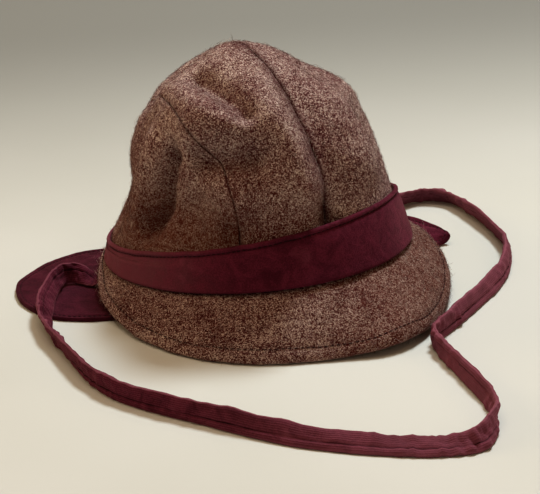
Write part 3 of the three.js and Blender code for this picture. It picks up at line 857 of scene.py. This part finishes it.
def edge_path(piece, centre, inset, steps):
    """Points on the upper face of a cloth piece, a set way in from its edge, round a centre in the plan."""
    plan = positions(piece)[:, :2] - centre
    angle = np.arctan2(plan[:, 0], -plan[:, 1])
    bins = np.round(angle / (2 * math.pi) * EDGE_BINS).astype(int) % EDGE_BINS
    reach = np.zeros(EDGE_BINS)
    np.maximum.at(reach, bins, np.hypot(plan[:, 0], plan[:, 1]))
    places = np.arange(EDGE_BINS)
    reach = np.interp(places, places[reach > 0], reach[reach > 0], period=EDGE_BINS)
    reach = (np.roll(reach, 1) + 2 * reach + np.roll(reach, -1)) / 4
    turn = np.arange(steps) * 2 * math.pi / steps
    rim = np.interp(turn / (2 * math.pi) * EDGE_BINS, places, reach, period=EDGE_BINS)
    way = np.stack([np.sin(turn), -np.cos(turn)], 1)
    rim = rim - inset(way, rim)
    tree = tree_of(piece)
    path = []
    for x, y in centre + way * rim[:, None]:
        hit = tree.ray_cast(Vector((x, y, ABOVE_ALL)), Vector((0, 0, -1)))[0]
        path.append((x, y, hit.z if hit else np.nan))
    return np.array(path)


def press_groove(piece, path, depth):
    """Draw a cloth wall in along a row of stitches, on both of its faces."""
    tree = KDTree(len(path))
    for i, point in enumerate(path):
        tree.insert(Vector((point[0], point[1], 0)), i)
    tree.balance()
    points, outwards = positions(piece), normals(piece)
    gap = np.array([tree.find(Vector((x, y, 0)))[2] for x, y, _ in points])
    move_to(piece, points - outwards * (depth * bell(gap, GROOVE_REACH))[:, None])


def thread(name):
    start, finish = new_material(name)
    return finish({"Base Color": THREAD_WINE, "Roughness": 0.7, "Specular IOR Level": 0.2})


def stitches(name, path, pitch, length, thick, slot):
    """A row of short closed stitches laid along a path."""
    run = np.concatenate([[0], np.cumsum(np.linalg.norm(np.diff(path, axis=0), axis=1))])
    points, faces = [], []
    for first in np.arange(0, run[-1] - length, pitch):
        spots = first + length * STITCH_SPOTS
        spine = np.stack([np.interp(spots, run, path[:, k]) for k in range(3)], 1)
        along = Vector(spine[-1] - spine[0]).normalized()
        side = along.orthogonal().normalized()
        over = along.cross(side)
        head = len(points)
        points.append(Vector(spine[0]))
        for spot, girth in zip(spine[1:-1], STITCH_GIRTHS):
            for turn in range(STITCH_SIDES):
                angle = 2 * math.pi * turn / STITCH_SIDES
                out = side * math.cos(angle) + over * math.sin(angle)
                points.append(Vector(spot) + out * thick * girth)
        points.append(Vector(spine[-1]))
        tail = len(points) - 1
        first_ring, middle_ring, last_ring = (head + 1 + STITCH_SIDES * k for k in range(3))
        for a in range(STITCH_SIDES):
            b = (a + 1) % STITCH_SIDES
            faces.append((head, first_ring + b, first_ring + a))
            for near, far in ((first_ring, middle_ring), (middle_ring, last_ring)):
                faces.append((near + a, near + b, far + b, far + a))
            faces.append((tail, last_ring + a, last_ring + b))
    row = mesh_piece(name, points, faces)
    row.data.materials.append(sewing_thread)
    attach(row, "root")


def lift_front_left(piece):
    """Raise the edge of the brim off the table between its front and the wearer's left."""
    points = positions(piece)
    plan = points[:, :2] - hat_plan
    turn = np.degrees(np.arctan2(plan[:, 0], -plan[:, 1]))
    beyond = np.hypot(plan[:, 0] / HAT_HALF[0], plan[:, 1] / HAT_HALF[1]) - 1
    share = np.clip((beyond - LIFT_FROM) / LIFT_OVER, 0, 1) ** LIFT_CURVE
    share *= bell(turn - LIFT_TURN, LIFT_SPREAD)
    move_to(piece, points + CROWN_FRONT * BRIM_LIFT * share[:, None])


def brim_inset(way, rim):
    """The row keeps its distance from the edge, or lies about half-way out where the brim is narrow."""
    band_edge = 1 / np.hypot(way[:, 0] / HAT_HALF[0], way[:, 1] / HAT_HALF[1])
    return np.minimum(BRIM_STITCH_INSET, NARROW_SHARE * np.maximum(rim - band_edge, NARROW_BRIM))


sewing_thread = thread("wine_thread")
hat_plan = np.array(HAT_FOOT[:2])
brim = welded_copy("brim", "brim_felt")
subdivided(brim, BRIM_LEVELS)
lumpy(brim, BRIM_LUMP, BRIM_LUMP_SIZE, 5.0)
lift_front_left(brim)
brim_path = edge_path(brim, hat_plan, brim_inset, BRIM_STEPS)
press_groove(brim, brim_path, BRIM_GROOVE)
brim_path = np.concatenate([brim_path, brim_path[:1]]) - BRIM_STITCH_SUNK
# The brim's felt carries painted shade: darker all over and darker still towards the wearer's left.
brim.data.materials.append(wool_felt("heather_felt_brim", BRIM_SHADE_TINT, BRIM_SIDE_SHADE))
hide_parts("brim")
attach(brim, "root")
stitches("brim_stitches", brim_path, *BRIM_STITCH, "wool")
fuzz(brim, "brim_fuzz", BRIM_HAIR_SEED, UNDER_BRIM, hairs)

# Band
# A strip of wine velvet round the foot of the crown. Its upper edge is rolled and sewn down, its lower edge
# free and standing a little proud of the brim.
BAND_FOOT_HEIGHT = Vector((0, 0, 20.3)) * MM
NOD = math.radians(-6.9)
LEAN = math.radians(-3.8)
HAT_SEAT = (
    Matrix.Translation(HAT_FOOT + BAND_FOOT_HEIGHT)
    @ Matrix.Rotation(NOD, 4, "X")
    @ Matrix.Rotation(LEAN, 4, "Y")
)
FOOT_DRAW = 2.8
BAND_RINGS = 900
BAND_BINS = 72
# The band grows paler towards the wearer's right, partly worn pile and partly painted light.
BAND_WORN_AND_LIT = {"begins_at": 5 * MM, "palest_at": -75 * MM, "amount": 0.46}
BAND_STITCH = (2.7 * MM, 2.0 * MM, 0.24 * MM)
BAND_STITCH_DROP = 2.5 * MM
BAND_STITCH_SUNK = 0.45 * MM
BAND_WAVE = 0.3 * MM
BAND_WAVES = 9
BAND_SOFT = 0.45
SOFT_WAVES = 5
SOFT_HEIGHT = 14 * MM
TOP_SOFT = 0.35
TOP_WAVES = 9
TOP_REACH = 3 * MM

# Each row: height above the band's foot as a share of its height, millimetres added to that, and how far the
# cloth stands out in millimetres, from the inner foot round the outer face to the inner top.
BAND_SECTION = [
    (0, 1.2, -1.7), (0, -0.1, -1.5), (0, -0.5, -0.6), (0, -0.4, 0.3), (0, 0.3, 0.85), (0, 1.3, 0.9),
    (0, 3.0, 0.65), (0.25, 0, 0.55), (0.4, 0, 0.6), (0.55, 0, 0.6), (0.7, 0, 0.5), (1, -5.5, 0.35),
    (1, -4.0, 0.15), (1, -3.2, -0.1), (1, -2.8, -0.5), (1, -2.5, -0.75), (1, -2.2, -0.5), (1, -1.8, 0.2),
    (1, -1.3, 0.55), (1, -0.7, 0.6), (1, -0.1, 0.3), (1, 0.2, -0.3), (1, 0.1, -1.0), (1, -0.6, -1.6),
    (1, -3.0, -1.75), (0.5, 0, -1.75),
]


def band_heights():
    """Height of the band's upper edge by angle, read from its solid in the hat's own frame."""
    flat = np.array([HAT_SEAT.inverted() @ v.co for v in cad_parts["band"].data.vertices])
    angle = np.arctan2(flat[:, 0] / HAT_HALF[0], -flat[:, 1] / HAT_HALF[1])
    bins = np.round(angle / (2 * math.pi) * BAND_BINS).astype(int) % BAND_BINS
    top = np.zeros(BAND_BINS)
    np.maximum.at(top, bins, flat[:, 2])
    return (np.roll(top, 1) + 2 * top + np.roll(top, -1)) / 4


def band_point(angle, height, out):
    """A place on the band; the cloth draws in towards its top by a share for each metre of height."""
    draw = 1 - FOOT_DRAW * height
    x = (HAT_HALF[0] * draw + out) * math.sin(angle)
    y = -(HAT_HALF[1] * draw + out) * math.cos(angle)
    return HAT_SEAT @ Vector((x, y, height))


def band_ring():
    """The band's mesh and the line along which its upper edge is sewn down."""
    tops = band_heights()
    points, faces, sewn = [], [], []
    size = len(BAND_SECTION)
    for i in range(BAND_RINGS):
        angle = 2 * math.pi * i / BAND_RINGS
        top = np.interp(i * BAND_BINS / BAND_RINGS, np.arange(BAND_BINS), tops, period=BAND_BINS)
        way = math.sin(angle), math.cos(angle)
        top += BAND_WAVE * noise.noise(Vector((way[0] * BAND_WAVES, way[1] * BAND_WAVES, 2.0)))
        for share, add, out in BAND_SECTION:
            height = share * top + add * MM
            spot = Vector((way[0] * SOFT_WAVES, way[1] * SOFT_WAVES, height / SOFT_HEIGHT))
            near_top = math.exp(-((top - height) / TOP_REACH) ** 2)
            soft = BAND_SOFT * noise.noise(spot) + near_top * TOP_SOFT * noise.noise(spot * TOP_WAVES)
            points.append(band_point(angle, height, (out + soft) * MM))
        sewn.append(band_point(angle, top - BAND_STITCH_DROP, -BAND_STITCH_SUNK))
    for i in range(BAND_RINGS):
        a, b = i * size, (i + 1) % BAND_RINGS * size
        for j in range(size):
            k = (j + 1) % size
            faces.append((a + j, b + j, b + k, a + k))
    return mesh_piece("band_velvet", points, faces), np.array(sewn + sewn[:1])


band, band_sewn = band_ring()
band.data.materials.append(velvet("band_velvet_pile", 0.98, rubbed=0.03, worn_and_lit=BAND_WORN_AND_LIT))
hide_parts("band")
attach(band, "root")
stitches("band_stitches", band_sewn, *BAND_STITCH, "velvet")

# Ear flaps
# Two layers of the same velvet, topstitched round the edge and sewn inside the hem. They are turned out and
# lie spread on the table, the left one shorter, folded along its middle and drawn to a narrow tip.
FLAP_CREASE = 0.5
FLAP_EDGE_ANGLE = math.radians(50)
FLAP_LEVELS = 2
FLAP_LUMP = 0.35 * MM
FLAP_LUMP_SIZE = 12 * MM
FLAP_STITCH = (2.7 * MM, 2.0 * MM, 0.22 * MM)
FLAP_STITCH_SUNK = np.array([0, 0, 0.25 * MM])
FLAP_STITCH_INSET = 2.6 * MM
FLAP_STEPS = 300
FLAP_CLEARANCE = 0.1 * MM
FLAP_GROOVE = 0.55 * MM
LEFT_FLAP_FRONT = 30 * MM
LEFT_FLAP_FOLD = [(104, 39, 0), (125, 33, 0)]
FREE_FROM, FREE_OVER = 90 * MM, 12 * MM
TIP_FROM, TIP_OVER = 110 * MM, 16 * MM
FRONT_DRAWN, TIP_DRAWN = 0.72, 0.7
FOLD_WIDTH, FOLD_RISE = 5 * MM, 3.0 * MM
FRONT_SLOPE = 0.06
TIP_FALL, TIP_REACH = 6 * MM, 2 * MM
BEYOND_BAND = 1.03
brim_tree = tree_of(brim)


def fold_left_flap(piece):
    """Draw the front half of the left flap in under a soft ridge along its middle."""
    points = positions(piece)
    free = np.clip((points[:, 0] - FREE_FROM) / FREE_OVER, 0, 1)
    front = np.maximum(LEFT_FLAP_FRONT - points[:, 1], 0)
    points[:, 1] += FRONT_DRAWN * front * free
    tip = eased((points[:, 0] - TIP_FROM) / TIP_OVER)
    points[:, 1] += (LEFT_FLAP_FRONT - points[:, 1]) * TIP_DRAWN * tip
    plan = points * np.array([1, 1, 0])
    ridge = bell(distance_to_line(plan, LEFT_FLAP_FOLD), FOLD_WIDTH)
    points[:, 2] += free * (FOLD_RISE * ridge * (1 - tip) - FRONT_SLOPE * front) - TIP_FALL * tip
    points[:, 0] += TIP_REACH * tip
    move_to(piece, points)


def flap_inset(way, rim):
    """The row keeps one distance from the edge all round."""
    return np.full(len(rim), FLAP_STITCH_INSET)


def in_the_open(path):
    """The points of a closed path that neither the brim nor the crown stands over, from a hidden one on."""
    seen = []
    for x, y, z in path:
        reach = math.hypot((x - hat_plan[0]) / HAT_HALF[0], (y - hat_plan[1]) / HAT_HALF[1])
        covered = brim_tree.ray_cast(Vector((x, y, ABOVE_ALL)), Vector((0, 0, -1)))[0]
        seen.append(reach > BEYOND_BAND and not covered and not math.isnan(z))
    start = next(i for i in range(len(path)) if not seen[i])
    turned = np.roll(np.arange(len(path)), -start)
    kept = [i for i in turned if seen[i]]
    return path[kept]


for side, flat, area, shade in (
    ("left", (0.089, 0.068), 0.0043, 0.95),
    ("right", (0.097, 0.073), 0.0059, 0.56),
):
    flap = welded_copy("ear_flap_" + side, f"ear_flap_{side}_velvet")
    crease_borders(flap, FLAP_CREASE, FLAP_EDGE_ANGLE)
    subdivided(flap, FLAP_LEVELS)
    if side == "left":
        fold_left_flap(flap)
    lumpy(flap, FLAP_LUMP, FLAP_LUMP_SIZE, 7.0)
    laid = positions(flap)
    laid[:, 2] = np.maximum(laid[:, 2], FLAP_CLEARANCE)
    move_to(flap, laid)
    middle = laid[:, :2].mean(0)
    sewn = edge_path(flap, middle, flap_inset, FLAP_STEPS)
    press_groove(flap, sewn[~np.isnan(sewn[:, 2])], FLAP_GROOVE)
    flap.data.materials.append(velvet(f"flap_{side}_velvet", shade, rubbed=0.02))
    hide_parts("ear_flap_" + side)
    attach(flap, "root")
    stitches(f"ear_flap_{side}_stitches", in_the_open(sewn) - FLAP_STITCH_SUNK, *FLAP_STITCH, "velvet")

visual_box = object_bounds()
({name: [list(map(float, corner)) for corner in box]
           for name, box in (("cad", cad_box), ("visual", visual_box))})
